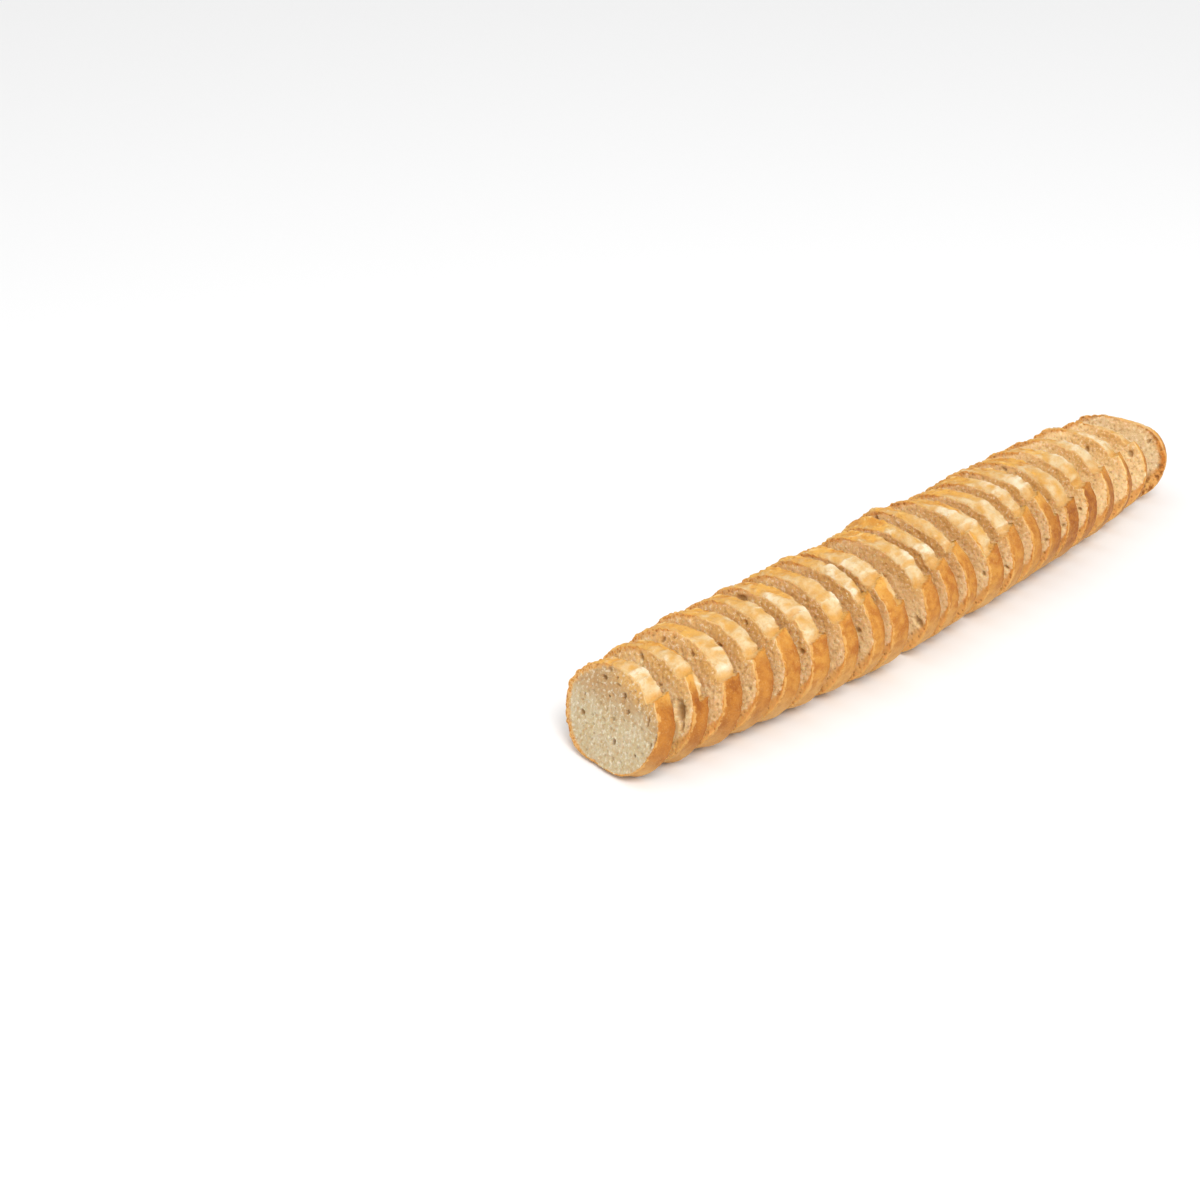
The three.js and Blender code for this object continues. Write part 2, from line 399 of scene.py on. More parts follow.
def outline(along, rounds, scale, slashed, cut_away=None):
    """One ring of the loaf: its points across and up, and what the finish needs to know.

    With a distance to the nearest cut face the ring has the fine relief, and without one
    it is the plain solid's.
    """
    width = float(loaf_width(np.array(along)))
    height = width * HEIGHT_TO_WIDTH
    middle = height * WIDEST_HEIGHT
    base = height * BASE_FLAT
    turn = 2 * np.pi * np.arange(rounds) / rounds
    c, s = np.cos(turn), np.sin(turn)
    power = np.where(s > 0, 2 / TOP_SQUARENESS, 2 / BASE_SQUARENESS)
    y = np.sign(c) * np.abs(c) ** power * width / 2
    z = np.sign(s) * np.abs(s) ** power * np.where(s > 0, height - middle, middle)
    angle = (np.degrees(turn) + 90) % 360 - 180
    places = np.full(rounds, float(along))
    spot = np.column_stack([np.full(rounds, along * SLICE_GRAIN), y, z])
    finely = cloud(spot, RAGGED_FINE_GRAIN, seed=8)
    ragged = layered(spot, RAGGED_GRAIN, seed=3) + RAGGED_FINE_SHARE * finely
    rise, torn, lip, ledge = crust_rise(places, angle, ragged, slashed)
    relief = np.zeros(rounds)
    if cut_away is not None:
        relief = crust_relief(spot, angle, torn, width)
        rounding = torn * TORN_ROUNDING * edge_wear(cut_away, TORN_ROUNDING_REACH)
        rounding = rounding + (1 - torn) * SKIN_ROUNDING * edge_wear(cut_away, SKIN_ROUNDING_REACH)
        rise = rise + relief + SWELL_RISE * layered(spot, SWELL_GRAIN, seed=51) - rounding
        rise = rise + GRIT_RISE * cloud(spot, GRIT_GRAIN, seed=55)
    out = 1 + rise / np.hypot(y, z)
    up = BASE_SOFTNESS * np.log1p(np.exp((middle - base + z * out * scale) / BASE_SOFTNESS))
    across = y * out * scale
    facts = {
        "angle": angle, "torn": torn, "lip": lip, "ledge": ledge, "relief": relief,
        "along": places,
    }
    return np.column_stack([across, up]), facts


def lean_of(number):
    wandering = LEAN_WANDER * wander(number, 1)
    if number < UPRIGHT_SLICE:
        swing = (1 + math.cos(math.pi * (number - 1) / (UPRIGHT_SLICE - 1))) / 2
        return LEAN_UPRIGHT + LEAN_FRONT_SWING * swing + wandering
    behind = (number - UPRIGHT_SLICE) / (SLICES - UPRIGHT_SLICE)
    return LEAN_UPRIGHT + LEAN_BACK_SWING * behind**LEAN_BACK_CURVE + wandering


def turn_of(number):
    if number > SLICES:
        return HEEL_TURN
    return TURN_FRONT + TURN_STEP * (number - 1) + TURN_WANDER * wander(number, 2)


def bow_of(x):
    rate = BOW_FRONT if x < BOW_MIDDLE else BOW_BACK
    return rate * abs(x - BOW_MIDDLE) ** BOW_CURVE


def stand(points, drop_points, lean, turn):
    """Leans and turns a piece and sets it down with its foot pressed flat."""
    lean, turn = math.radians(lean), math.radians(turn)
    leaning = np.array([
        [math.cos(lean), 0, math.sin(lean)],
        [0, 1, 0],
        [-math.sin(lean), 0, math.cos(lean)],
    ])
    turning = np.array([
        [math.cos(turn), -math.sin(turn), 0],
        [math.sin(turn), math.cos(turn), 0],
        [0, 0, 1],
    ])
    placed = points @ (turning @ leaning).T
    lowest = (drop_points @ (turning @ leaning).T)[:, 2].min()
    placed[:, 2] = np.maximum(placed[:, 2] - lowest - FOOT_PRESS, 0)
    return placed


# Holes in the cut faces, by slice: across and up from the face's middle, half width, half
# height and depth. A sixth number is how far a hole leans across for each millimetre up.
NAMED_HOLES = {
    1: [
        (8.3, 20.7, 1.9, 1.3, 1.2), (10.2, 16.0, 1.9, 1.3, 2.2), (2.4, 19.2, 1.0, 0.7, 1.0),
        (0.5, 16.3, 1.8, 0.8, 1.0), (3.9, 9.2, 0.8, 0.6, 1.6), (-5.2, 12.8, 1.5, 1.7, 2.4),
        (18.7, -4.5, 1.9, 1.7, 2.2), (-9.9, 7.0, 1.3, 1.5, 1.6), (-2.1, 1.2, 1.8, 1.7, 0.8),
        (-6.3, -9.1, 1.6, 1.7, 2.6), (-21.5, -9.7, 0.9, 0.8, 1.6), (-8.6, -16.6, 1.5, 1.1, 0.9),
        (-23.7, 7.9, 0.9, 3.0, 1.6), (-31.5, 2.7, 1.1, 2.8, 1.6), (-28.9, -1.7, 0.9, 1.6, 1.5),
        (-17.7, 11.7, 1.2, 2.0, 0.8), (-14.0, 14.0, 1.2, 1.8, 0.8), (20.1, 4.0, 1.0, 0.8, 1.2),
    ],
    2: [(-23.6, 5.6, 3.6, 5.0, 3.2, 0.3), (-27.5, -1.0, 1.2, 2.4, 1.6)],
    10: [(-31.7, -2.7, 1.6, 3.0, 2.2)],
}


def crumb_depth(flat, face, rim, middle):
    """Depth of the pores in a cut face, and the share of it that is open hole, which the crumb's
    finish darkens with painted shade.
    """
    seed = 7 * face
    big = np.zeros(len(flat))
    if face != 1:  # all the big holes of the first face are named
        big = bubbles(flat, *BIG_PORES, seed=100 + seed)
    middling = bubbles(flat, *MIDDLING_PORES, seed=200 + seed)
    small = bubbles(flat, *SMALL_PORES, seed=300 + seed)
    spot = np.column_stack([flat, np.full(len(flat), FACES_APART * face)])
    soft = layered(spot, SAG_GRAIN, seed=60)
    rough = cloud(spot, ROUGH_GRAIN, seed=70)
    inner = ease((rim - RIM_SKIN) / RIM_FADE)
    pores = BIG_DEPTH * big + MIDDLING_DEPTH * middling + SMALL_DEPTH * small
    depth = inner * pores + ROUGH_DEPTH * (1 + rough)
    depth = depth + SAG_DEPTH * (1 + soft) * ease(rim / SAG_REACH)
    # the share of open hole drives the painted shade in pores and holes
    hole = inner * np.maximum(big, MIDDLING_DARKNESS * middling)
    for across, up, half_width, half_height, deep, *lean in NAMED_HOLES.get(face, []):
        offset = flat - middle - (across, up)
        offset[:, 0] -= sum(lean) * offset[:, 1]
        wavy = 1 + HOLE_WAVE * cloud(spot + 50, HOLE_WAVE_GRAIN, seed=75)
        reach = np.hypot(offset[:, 0] / half_width, offset[:, 1] / half_height) * wavy
        pit = np.sqrt(np.clip(1 - reach * reach, 0, 1))
        depth = depth + deep * pit
        hole = np.maximum(hole, pit * min(1, deep / DARK_HOLE))
    return depth, hole


def body_of_slice(rings, xs, all_facts, number, face_rings, back_rings):
    """A closed body: crust rings, then a cut face over each end.

    Without back rings the far end is the heel's tip.
    """
    rounds = len(rings[0])
    here = np.arange(rounds)
    after = (here + 1) % rounds
    none = np.zeros(rounds)
    points, facts = [], {key: [] for key in (*RING_FACTS, "rim", "hole")}
    loops, kinds = [], []

    def add(new_points, ring_facts, rim, hole):
        start = sum(len(p) for p in points)
        points.append(new_points)
        for key in RING_FACTS:
            facts[key].append(ring_facts[key])
        facts["rim"].append(rim)
        facts["hole"].append(hole)
        return start

    def band(a, b, kind):
        loops.append(np.column_stack([a + here, a + after, b + after, b + here]))
        kinds.append(np.full(rounds, kind))

    def close(ring, tip, forwards, kind):
        """Triangles from a ring to a tip; -1 stands for the corner that they lack."""
        first, second = (after, here) if forwards else (here, after)
        corners = [np.full(rounds, tip), ring + first, ring + second, np.full(rounds, -1)]
        loops.append(np.column_stack(corners))
        kinds.append(np.full(rounds, kind))

    ends = [(0, 1, face_rings)]
    if back_rings:
        ends.append((len(rings) - 1, -1, back_rings))
    frays = []
    for end, _, _ in ends:
        where = np.column_stack([np.full(rounds, CUTS_APART * number + end), rings[end]])
        fine, broad = cloud(where, FRAY_GRAIN, seed=81), cloud(where, BROAD_FRAY_GRAIN, seed=83)
        frays.append(FRAY_DEPTH * (1 + fine) + BROAD_FRAY_DEPTH * (1 + broad))
    starts = []
    for ring, x, ring_facts in zip(rings, xs, all_facts):
        placed = np.full(rounds, float(x))
        for (end, inward, _), fray in zip(ends, frays):
            placed += inward * fray * max(0, 1 - abs(x - xs[end]) / FRAY_REACH)
        starts.append(add(np.column_stack([placed, ring]), ring_facts, none, none))
    for a, b in zip(starts, starts[1:]):
        band(a, b, CRUST_PLACE)

    for (end, inward, count), fray in zip(ends, frays):
        ring, x = rings[end], xs[end]
        centre = ring.mean(axis=0)
        reach = np.hypot(*(ring - centre).T)
        calmed = np.column_stack([calm(side, rounds // CALM_SHAPE) for side in ring.T])
        face_facts = dict(all_facts[end])
        for key in ("torn", "lip", "ledge", "relief"):
            face_facts[key] = calm(face_facts[key], rounds // CALM_FACTS)
        face = number if inward > 0 else number + BACK_FACE
        previous = starts[end]
        for k in range(1, count + 1):
            share = 1 - (k / (count + 0.5)) ** RIM_CROWDING
            evened = ease((1 - share) * CALM_SPEED)
            flat = centre + (ring + (calmed - ring) * evened - centre) * share
            rim = reach * (1 - share)
            depth, hole = crumb_depth(flat, face, rim, centre)
            depth = depth * ease(EDGE_SINK + rim / EDGE_REACH)
            depth = depth + fray * np.clip(1 - rim / FRAY_REACH, 0, 1)
            start = add(np.column_stack([x + inward * depth, flat]), face_facts, rim, hole)
            near, far = (start, previous) if inward > 0 else (previous, start)
            band(near, far, CRUMB_PLACE)
            previous = start
        flat, rim = centre[None], np.full(1, MIDDLE_RIM)
        depth, _ = crumb_depth(flat, face, rim, centre)
        plain = {key: np.zeros(1) for key in RING_FACTS}
        tip = add(np.column_stack([x + inward * depth, flat]), plain, rim, np.zeros(1))
        close(previous, tip, inward > 0, CRUMB_PLACE)
    if not back_rings:
        last = {key: np.full(1, float(all_facts[-1][key].mean())) for key in RING_FACTS}
        point = np.array([[xs[-1], *rings[-1].mean(axis=0)]])
        tip = add(point, last, np.zeros(1), np.zeros(1))
        close(starts[-1], tip, False, CRUST_PLACE)
    return (
        np.vstack(points),
        {key: np.concatenate(value) for key, value in facts.items()},
        np.vstack(loops),
        np.concatenate(kinds),
    )


def dome(swing):
    """A ring of the heel: its distance from the cut, place along the loaf and scale."""
    forward = math.sin(swing)
    return HEEL_LENGTH * forward, HEEL_START + DOME_GRAIN * forward, math.cos(swing) ** DOME_CURVE


def solid_feet(number):
    """The plain solid's rings, which decide how high the piece stands."""
    if number > SLICES:
        return [dome(math.pi / 2 * ring / DOME_RINGS) for ring in range(DOME_RINGS)]
    thickness = THICKNESSES[number - 1]
    lean = lean_of(number)
    foot = FOOT_SHARE * FOOT_PRESS / abs(math.sin(math.radians(lean))) / thickness
    share = (1 - foot if lean > 0 else foot) if foot < LONGEST_FOOT else 0.5
    return [(s * thickness, number - 0.5 + s, 1.0) for s in (0, share, 1)]


def crust_places(number):
    """The detailed piece's rings, closer together towards a slice's cuts."""
    if number > SLICES:
        return [dome(swing) for swing in np.linspace(0, math.pi / 2 * DOME_SHARE, HEEL_SIDE)]
    even = np.linspace(0, 1, SHOWN_SIDE if number == 1 else FINE_SIDE)
    shares = (even + (1 - np.cos(np.pi * even)) / 2) / 2
    return [(THICKNESSES[number - 1] * s, number - 0.5 + s, 1.0) for s in shares]


def make_piece(number, x):
    heel = number > SLICES
    name = "heel" if heel else f"slice_{number:02d}"
    rounds = SHOWN_ROUND if number == 1 else FINE_ROUND
    places = crust_places(number)
    xs = [x_here for x_here, _, _ in places]
    rings, all_facts = [], []
    for x_here, along, scale in places:
        cut_away = x_here if heel else min(x_here, xs[-1] - x_here)
        ring, ring_facts = outline(along, rounds, scale, not heel, cut_away)
        ring_facts["share"] = np.full(rounds, x_here / xs[-1])
        rings.append(ring)
        all_facts.append(ring_facts)
    face_rings = SHOWN_FACE if number == 1 else FINE_FACE
    points, facts, loops, kinds = body_of_slice(
        rings, xs, all_facts, number, face_rings, 0 if heel else FINE_BACK
    )
    feet = []
    for foot_x, along, scale in solid_feet(number):
        ring, _ = outline(along, FOOT_ROUND, scale, not heel)
        feet.append(np.column_stack([np.full(FOOT_ROUND, foot_x), ring]))
    placed = stand(points, np.vstack(feet), lean_of(number), turn_of(number))
    placed += (x - ROW_MIDDLE[0], bow_of(x) - ROW_MIDDLE[1], 0)

    mesh = bpy.data.meshes.new(name)
    faces = [tuple(q[:3]) if q[3] < 0 else tuple(q) for q in loops.tolist()]
    mesh.from_pydata((placed * MM).tolist(), [], faces)
    mesh.polygons.foreach_set("material_index", kinds.astype(np.int32))
    mesh.shade_smooth()
    mesh.update()
    lengthways = facts.pop("along") * SLICE_GRAIN
    if heel:
        lengthways = HEEL_START * SLICE_GRAIN + points[:, 0]
    facts["inner"] = np.full(len(points), 0.0 if number == 1 else 1.0)
    facts["heel"] = np.full(len(points), 1.0 if heel else 0.0)
    for key, values in facts.items():
        layer = mesh.attributes.new(key, "FLOAT", "POINT")
        layer.data.foreach_set("value", values.astype(np.float32))
    spot = np.column_stack([lengthways, points[:, 1], points[:, 2]])
    layer = mesh.attributes.new("spot", "FLOAT_VECTOR", "POINT")
    layer.data.foreach_set("vector", spot.astype(np.float32).ravel())
    piece = bpy.data.objects.new(f"bread_{name}", mesh)
    bpy.context.scene.collection.objects.link(piece)
    mesh.materials.append(CRUST)
    mesh.materials.append(CRUMB)
    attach(piece, "root")
    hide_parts(name)


# Finishes

# Colours of the bread, as eight-bit values of a paint chart
PAINTS = {
    # The side that shows, low on it, and its edges and base
    "amber side": (180, 112, 36), "brown side": (150, 82, 22), "light side": (192, 126, 50),
    "lit side": (208, 146, 62), "lit brown": (184, 114, 42),
    "shaded low amber": (180, 118, 56), "shaded low brown": (160, 98, 44),
    "lit low pale": (212, 160, 88), "lit low tan": (196, 138, 70),
    "back edge": (146, 82, 28), "worn edge": (228, 178, 104),
    "pale base": (220, 174, 106), "brown base": (206, 152, 84),
    # The top and the far side
    "gold top": (224, 168, 80), "brown top": (206, 140, 54), "blister": (234, 192, 118),
    "top spot": (180, 108, 38), "lip": (204, 132, 48),
    "gold tip": (214, 150, 64), "brown tip": (182, 110, 38),
    # Torn bread, and the grain of all the crust
    "gold tear": (212, 160, 82), "pale tear": (220, 194, 148), "tear highlight": (238, 226, 198),
    "tear shade": (196, 140, 68), "tear fleck": (208, 158, 86), "ledge": (212, 156, 76),
    "dark grain": (150, 84, 32), "light grain": (232, 192, 128),
    # Crumb
    "cool shade crumb": (194, 178, 147), "cool shade patch": (188, 168, 131),
    "bounce-lit crumb": (240, 206, 150), "bounce-lit patch": (230, 190, 132),
    "light tan": (232, 182, 106), "tan": (212, 158, 88), "front tan": (176, 138, 92),
    "low shade crumb": (206, 166, 118), "shaded crumb": (184, 144, 102),
    "gap light crumb": (250, 224, 178), "far top light crumb": (250, 224, 168), "heel crumb": (210, 186, 150),
    "baked band shade": (212, 162, 90), "cool shade fleck": (222, 210, 184), "bounce-lit fleck": (246, 224, 186),
    "dark fleck": (184, 140, 94), "pit": (172, 134, 86), "small pit": (190, 152, 106),
    "hole": (156, 112, 60),
    # The rim of crust round a cut face
    "light rim": (212, 150, 74), "brown rim": (188, 118, 48), "front rim": (182, 126, 62),
    "low rim": (234, 184, 112), "heel spot": (146, 92, 42), "inner rim": (222, 176, 112),
    "rim dot": (226, 190, 130), "rim pit": (158, 98, 44), "lit edge": (236, 200, 140),
}


def srgb(red, green, blue):
    """A colour as linear light, from the eight-bit values of a paint chart."""
    def linear(v):
        v /= 255
        return v / 12.92 if v <= 0.04045 else ((v + 0.055) / 1.055) ** 2.4
    return (linear(red), linear(green), linear(blue), 1.0)


class Shade:
    """A socket of a material; arithmetic on it adds Math nodes."""

    def __init__(self, tree, socket=None):
        self.tree = tree
        self.socket = socket

    def node(self, kind, settings=None, out=0, **sockets):
        """Adds a node: its settings first, then its sockets by place, s0, s1 and so on."""
        made = self.tree.nodes.new("ShaderNode" + kind)
        for key, value in (settings or {}).items():
            setattr(made, key, value)
        for key, value in sockets.items():
            target = made.inputs[int(key[1:])]
            if isinstance(value, Shade):
                self.tree.links.new(value.socket, target)
            else:
                target.default_value = value
        return Shade(self.tree, made.outputs[out])

    def maths(self, operation, *values):
        sockets = {f"s{i}": value for i, value in enumerate(values)}
        return self.node("Math", {"operation": operation}, **sockets)

    def __add__(self, other):
        return self.maths("ADD", self, other)

    __radd__ = __add__

    def __sub__(self, other):
        return self.maths("SUBTRACT", self, other)

    def __rsub__(self, other):
        return self.maths("SUBTRACT", other, self)

    def __mul__(self, other):
        return self.maths("MULTIPLY", self, other)

    __rmul__ = __mul__

    def __truediv__(self, other):
        return self.maths("DIVIDE", self, other)

    def __rtruediv__(self, other):
        return self.maths("DIVIDE", other, self)

    def __pow__(self, other):
        return self.maths("POWER", self, other)

    def rise(self, low, high):
        """0 below low and 1 above high, eased between."""
        return self.node(
            "MapRange", {"interpolation_type": "SMOOTHSTEP"}, s0=self, s1=low, s2=high
        )

    def fact(self, name):
        """A number that the mesh holds for each of its points."""
        return self.node("Attribute", {"attribute_name": name}, out=2)

    def spot(self):
        """Each point's place in the whole loaf, in millimetres, before it was cut."""
        return self.node("Attribute", {"attribute_name": "spot"}, out=1)

    def axis(self, where, place):
        """One number of a spot: 0 along the loaf, 1 across, 2 up."""
        return self.node("SeparateXYZ", out=place, s0=where)

    def noise(self, where, grain, detail=3.0, rough=0.55):
        """Noise about 0.5, its lumps about one grain of millimetres apart."""
        return self.node("TexNoise", s0=where, s2=1 / grain, s3=detail, s4=rough)

    def cells(self, where, grain):
        """0 at the middle of each cell, rising to its walls; cells are one grain apart."""
        return self.node("TexVoronoi", s0=where, s2=1 / grain)

    def blend(self, share, first, second):
        """From one colour to another; each is a socket or the name of a paint."""
        ends = (srgb(*PAINTS[end]) if isinstance(end, str) else end for end in (first, second))
        first, second = ends
        return self.node("Mix", {"data_type": "RGBA"}, out=2, s0=share, s6=first, s7=second)


def material(name, roughness, glow):
    """A new finish for bread, a Shade to start its nodes from, and its shader."""
    made = bpy.data.materials.new(name)
    made.use_nodes = True
    shader = made.node_tree.nodes["Principled BSDF"]
    shader.inputs["Roughness"].default_value = roughness
    shader.inputs["Specular IOR Level"].default_value = BREAD_SHINE
    shader.inputs["Subsurface Weight"].default_value = glow
    shader.inputs["Subsurface Radius"].default_value = GLOW_TINT
    shader.inputs["Subsurface Scale"].default_value = GLOW_REACH * MM
    return made, Shade(made.node_tree), shader


def feed(s, shader, colour, relief, strength, depth):
    """Joins the colour to a shader, and the finest relief through a bump."""
    bump = s.node("Bump", s0=strength, s1=depth * MM, s3=relief)
    s.tree.links.new(colour.socket, shader.inputs["Base Color"])
    s.tree.links.new(bump.socket, shader.inputs["Normal"])


def make_crust():
    made, s, shader = material("baked_crust", CRUST_ROUGHNESS, CRUST_GLOW)
    where = s.spot()
    along = s.axis(where, 0) / SLICE_GRAIN
    angle, share, relief = s.fact("angle"), s.fact("share"), s.fact("relief")
    torn, lip, ledge = s.fact("torn"), s.fact("lip"), s.fact("ledge")
    broad = s.noise(where, 24)
    patch = s.noise(where, 8)
    mottle = s.noise(where, 4.5)
    fine = s.noise(where, 2.0, 4.0, 0.6)
    grain = s.noise(where, 0.7, 2.0)

    # The side that shows: mottled, with painted light in the middle of the row, and duller low
    # down, partly its own colour and partly painted shade
    lit_middle = (along - 2.5).rise(0, 3.5) * (17 - along).rise(0, 3)
    side = s.blend(mottle.rise(0.36, 0.66), "amber side", "brown side")
    side = s.blend(broad.rise(0.42, 0.62) * 0.6, side, "light side")
    sunny = s.blend(mottle.rise(0.36, 0.66), "lit side", "lit brown")
    side = s.blend(lit_middle * 0.75, side, sunny)
    low = s.blend(mottle.rise(0.35, 0.68), "shaded low amber", "shaded low brown")
    pallid = s.blend(mottle.rise(0.35, 0.68), "lit low pale", "lit low tan")
    low = s.blend(lit_middle * 0.85, low, pallid)
    colour = s.blend(angle.rise(84, 116), side, low)

    # A darker back edge, a worn front edge and a pale base
    back = share.rise(0.55, 1.0) * (116 - angle).rise(0, 34)
    colour = s.blend(back * 0.45, colour, "back edge")
    worn = (0.12 + (fine - 0.5) * 0.5 + (patch - 0.5) * 0.5 - share).rise(0, 0.12)
    colour = s.blend(worn * 0.6, colour, "worn edge")
    under = (angle * angle) ** 0.5
    base = s.blend(patch.rise(0.35, 0.65), "pale base", "brown base")
    colour = s.blend(under.rise(100, 136) * 0.85, colour, base)

    # Golden skin with paler blisters and darker spots over the top and the far side
    golden = s.blend(patch.rise(0.38, 0.64), "gold top", "brown top")
    golden = s.blend(relief.rise(0.1, 0.6), golden, "blister")
    golden = s.blend(s.noise(where, 3.2).rise(0.56, 0.7) * 0.6, golden, "top spot")
    colour = s.blend((52 - angle).rise(-8, 16) * (angle + 128).rise(0, 30), colour, golden)
    colour = s.blend(lip.rise(0.3, 1.0) * 0.4, colour, "lip")
    capped = s.blend((broad + mottle * 0.6).rise(0.7, 0.95), "gold tip", "brown tip")
    colour = s.blend(s.fact("heel") * share.rise(0.45, 0.9), colour, capped)

    # Torn bread in the slashes and frayed skin at the cuts: cream, with a baked ledge above each
    # lip, a painted highlight on its crests and painted shade in its creases
    sloping = (angle + 25).rise(0, 55) * 0.2 - 0.16
    pale = s.noise(where, 7) + (patch - 0.5) * 0.6 + relief * 0.1 - share * 0.1 + sloping
    cream = s.blend(pale.rise(0.26, 0.66), "gold tear", "pale tear")
    cream = s.blend(relief.rise(0.35, 1.3) * 0.75, cream, "tear highlight")
    cream = s.blend((0 - relief).rise(0.35, 1.3) * 0.75, cream, "tear shade")
    cream = s.blend(fine.rise(0.48, 0.66) * 0.5, cream, "tear fleck")
    cream = s.blend(ledge.rise(0.0, 0.9) * 0.75, cream, "ledge")
    crown = (angle + 55).rise(0, 30) * (50 - angle).rise(0, 25)
    brim = (0.5 + (patch - 0.5) * 1.6 - share).rise(0, 0.45) * crown
    frayed = (torn + brim * 0.6 + (fine - 0.5) * 0.5 + (patch - 0.5) * 0.8).rise(0.1, 0.85)
    colour = s.blend(frayed, colour, cream)

    colour = s.blend(grain.rise(0.55, 0.8) * 0.22, colour, "dark grain")
    colour = s.blend(grain.rise(0.47, 0.25) * 0.2, colour, "light grain")
    height = grain * 0.6 + fine * 1.6 + mottle * (0.4 + frayed)
    feed(s, shader, colour, height, CRUST_BUMP, CRUST_BUMP_DEPTH)
    return made


def make_crumb():
    made, s, shader = material("crumb", CRUMB_ROUGHNESS, CRUMB_GLOW)
    where = s.spot()
    along, up = s.axis(where, 0) / SLICE_GRAIN, s.axis(where, 2)
    angle, torn, rim, hole = s.fact("angle"), s.fact("torn"), s.fact("rim"), s.fact("hole")
    inner, heel = s.fact("inner"), s.fact("heel")
    patch = s.noise(where, 9)
    fine = s.noise(where, 1.9, 4.0, 0.7)
    tiny = s.cells(where, 1.3)
    pore = s.cells(where, 2.6)

    # Painted light and shade: the first face cool and darker, as in soft shade, the others warm,
    # as lit by light bounced about their gaps; tan towards the top
    cool = s.blend(patch.rise(0.35, 0.65), "cool shade crumb", "cool shade patch")
    warm = s.blend(patch.rise(0.35, 0.65), "bounce-lit crumb", "bounce-lit patch")
    colour = s.blend(inner * 0.9, cool, warm)
    tan = s.blend(fine.rise(0.35, 0.65), "light tan", "tan")
    tan = s.blend(inner, "front tan", tan)
    baked = (up + (patch - 0.5) * 16 + (1 - inner) * 9).rise(30, 46)
    colour = s.blend(baked * (0.85 - inner * 0.2), colour, tan)

    # Painted shade low down in the gaps, deepest between the first slices, and painted light in
    # the gaps further along, most towards the top at the far end
    colour = s.blend((8 - up).rise(0, 26) * inner * 0.6, colour, "low shade crumb")
    shaded = (6 - along).rise(0, 3) * (12 - up).rise(0, 24) * inner
    colour = s.blend(shaded * 0.5, colour, "shaded crumb")
    colour = s.blend((along - 4).rise(0, 6) * 0.25, colour, "gap light crumb")
    far = (along - 15.5).rise(0, 3)
    colour = s.blend(far * up.rise(8, 30) * 0.5, colour, "far top light crumb")
    colour = s.blend(heel * 0.5, colour, "heel crumb")

    # A warmer band next to the crust on the side that shows, partly crumb baked by the crust and
    # partly painted shade, then flecks, pits and holes
    flank = (angle + 20).rise(0, 25) * (80 - angle).rise(0, 25)
    band = 1 - (rim + (patch - 0.5) * 5).rise(2.0, 10.0)
    colour = s.blend(band * (torn * 0.5 + flank * 0.4), colour, "baked band shade")
    # the flecks carry the same painted light and shade: cool on the first face, warm on the others
    flecks = s.blend(inner, "cool shade fleck", "bounce-lit fleck")
    colour = s.blend(fine.rise(0.51, 0.66) * 0.75, colour, flecks)
    colour = s.blend(fine.rise(0.47, 0.34) * 0.5, colour, "dark fleck")
    # painted shade in the pores: pits, small pits and holes are darkened
    pits = (0.42 - pore).rise(0.0, 0.24) * fine.rise(0.6, 0.42)
    colour = s.blend(pits * 0.5, colour, "pit")
    colour = s.blend((0.36 - tiny).rise(0.0, 0.3) * 0.2, colour, "small pit")
    colour = s.blend(hole.rise(0.2, 0.95) * 0.7, colour, "hole")

    # The crust's ragged rim: wider on the far side, low down and on the heel's near side
    away = 1 - flank * (1 - heel)
    edge = rim + (fine - 0.5) * 3.2 + (patch - 0.5) * 3.0
    left = (0 - angle).rise(10, 40) * (angle + 172).rise(0, 30)
    below = ((angle * angle) ** 0.5).rise(86, 118) * inner
    width = 0.7 + 2.4 * left + 5.2 * below + 3.4 * heel * (angle - 10).rise(0, 50)
    near = (1 - (edge / width).rise(0.55, 1.25)) * away
    crust = s.blend(fine.rise(0.42, 0.62), "light rim", "brown rim")
    crust = s.blend((1 - inner) * 0.6, crust, "front rim")
    crust = s.blend(below * 0.8, crust, "low rim")
    crust = s.blend(heel * s.noise(where, 3.5).rise(0.42, 0.62), crust, "heel spot")
    crust = s.blend((rim / width).rise(0.3, 1.2) * 0.5, crust, "inner rim")
    crust = s.blend(tiny.rise(0.3, 0.6) * left * 0.5, crust, "rim dot")
    # painted shade in the pores of the rim
    crust = s.blend(pits * 0.8, crust, "rim pit")
    colour = s.blend(near, colour, crust)
    lit = (1 - rim.rise(0.3, 1.3)) * flank
    colour = s.blend(lit * 0.6, colour, "lit edge")

    height = fine * 1.3 + tiny * 0.5 + pore * 0.8
    feed(s, shader, colour, height, CRUMB_BUMP, CRUMB_BUMP_DEPTH)
    return made


CRUST = make_crust()
CRUMB = make_crumb()

foot = 0.0
for number in range(1, SLICES + 2):
    make_piece(number, foot)
    if number <= SLICES:
        foot += STEPS[number - 1]

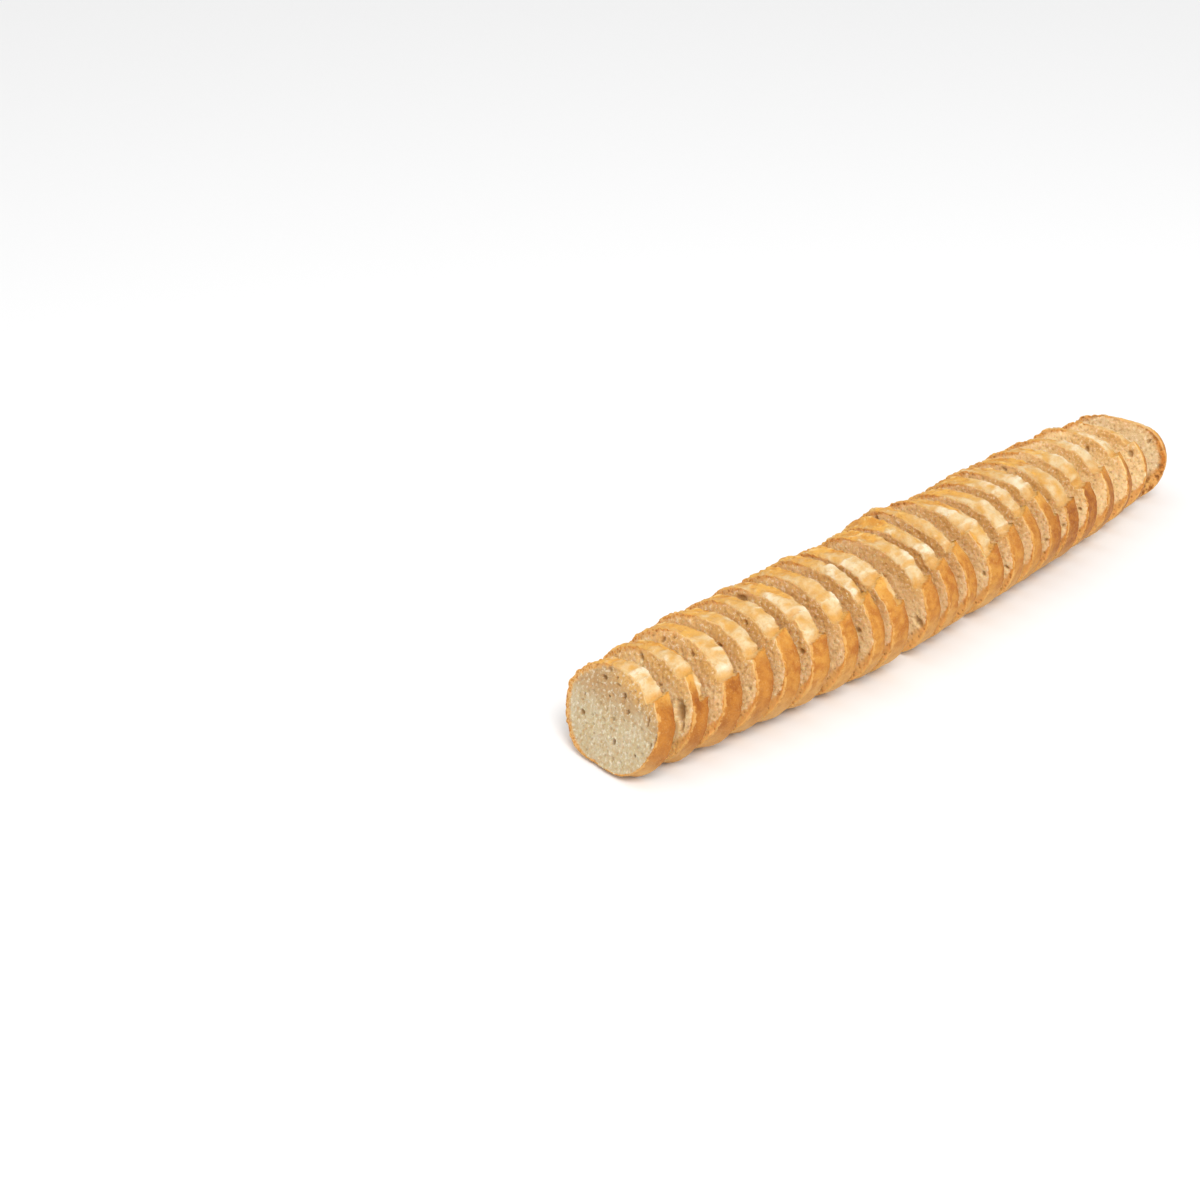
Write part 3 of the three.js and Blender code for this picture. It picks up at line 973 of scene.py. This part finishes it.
# The floor: plain and pale
floor_mesh = bpy.data.meshes.new("floor")
floor_mesh.from_pydata(
    [
        (-FLOOR_REACH, -FLOOR_REACH, 0), (FLOOR_REACH, -FLOOR_REACH, 0),
        (FLOOR_REACH, FLOOR_REACH, 0), (-FLOOR_REACH, FLOOR_REACH, 0),
    ],
    [], [(0, 1, 2, 3)],
)
floor = bpy.data.objects.new("floor", floor_mesh)
bpy.context.scene.collection.objects.link(floor)
pale = bpy.data.materials.new("pale_floor")
pale.use_nodes = True
plain = pale.node_tree.nodes["Principled BSDF"]
plain.inputs["Base Color"].default_value = (FLOOR_WHITE, FLOOR_WHITE, FLOOR_WHITE, 1)
plain.inputs["Roughness"].default_value = FLOOR_ROUGHNESS
plain.inputs["Specular IOR Level"].default_value = FLOOR_SHINE
floor_mesh.materials.append(pale)

# Soft light: a bright even sky and one large lamp above the side that shows
world = bpy.data.worlds.new("studio")
world.use_nodes = True
sky = world.node_tree.nodes["Background"]
sky.inputs["Color"].default_value = (1, 1, 1, 1)
sky.inputs["Strength"].default_value = SKY_STRENGTH
bpy.context.scene.world = world
bpy.context.scene.view_settings.view_transform = "Standard"

disk = bpy.data.lights.new("key", "AREA")
disk.shape = "DISK"
disk.size = LAMP_WIDTH
disk.energy = LAMP_POWER
lamp = bpy.data.objects.new("key", disk)
lamp.location = LAMP_PLACE
lamp_x, lamp_y, lamp_z = LAMP_PLACE  # the lamp looks at the middle of the row
lamp_tilt = math.atan2(math.hypot(lamp_x, lamp_y), lamp_z)
lamp.rotation_euler = (lamp_tilt, 0, math.atan2(-lamp_y, -lamp_x) - math.pi / 2)
bpy.context.scene.collection.objects.link(lamp)

# The camera, at the height and distance that give the photograph's view
camera = bpy.data.cameras.new("camera")
camera.sensor_width = SENSOR_WIDTH
camera.lens = LENS
camera.clip_end = VIEW_END
viewer = bpy.data.objects.new("camera", camera)
viewer.location = CAMERA_PLACE
viewer.rotation_euler = (math.radians(90 - CAMERA_DOWN), 0, math.radians(CAMERA_TURN))
bpy.context.scene.collection.objects.link(viewer)
bpy.context.scene.camera = viewer
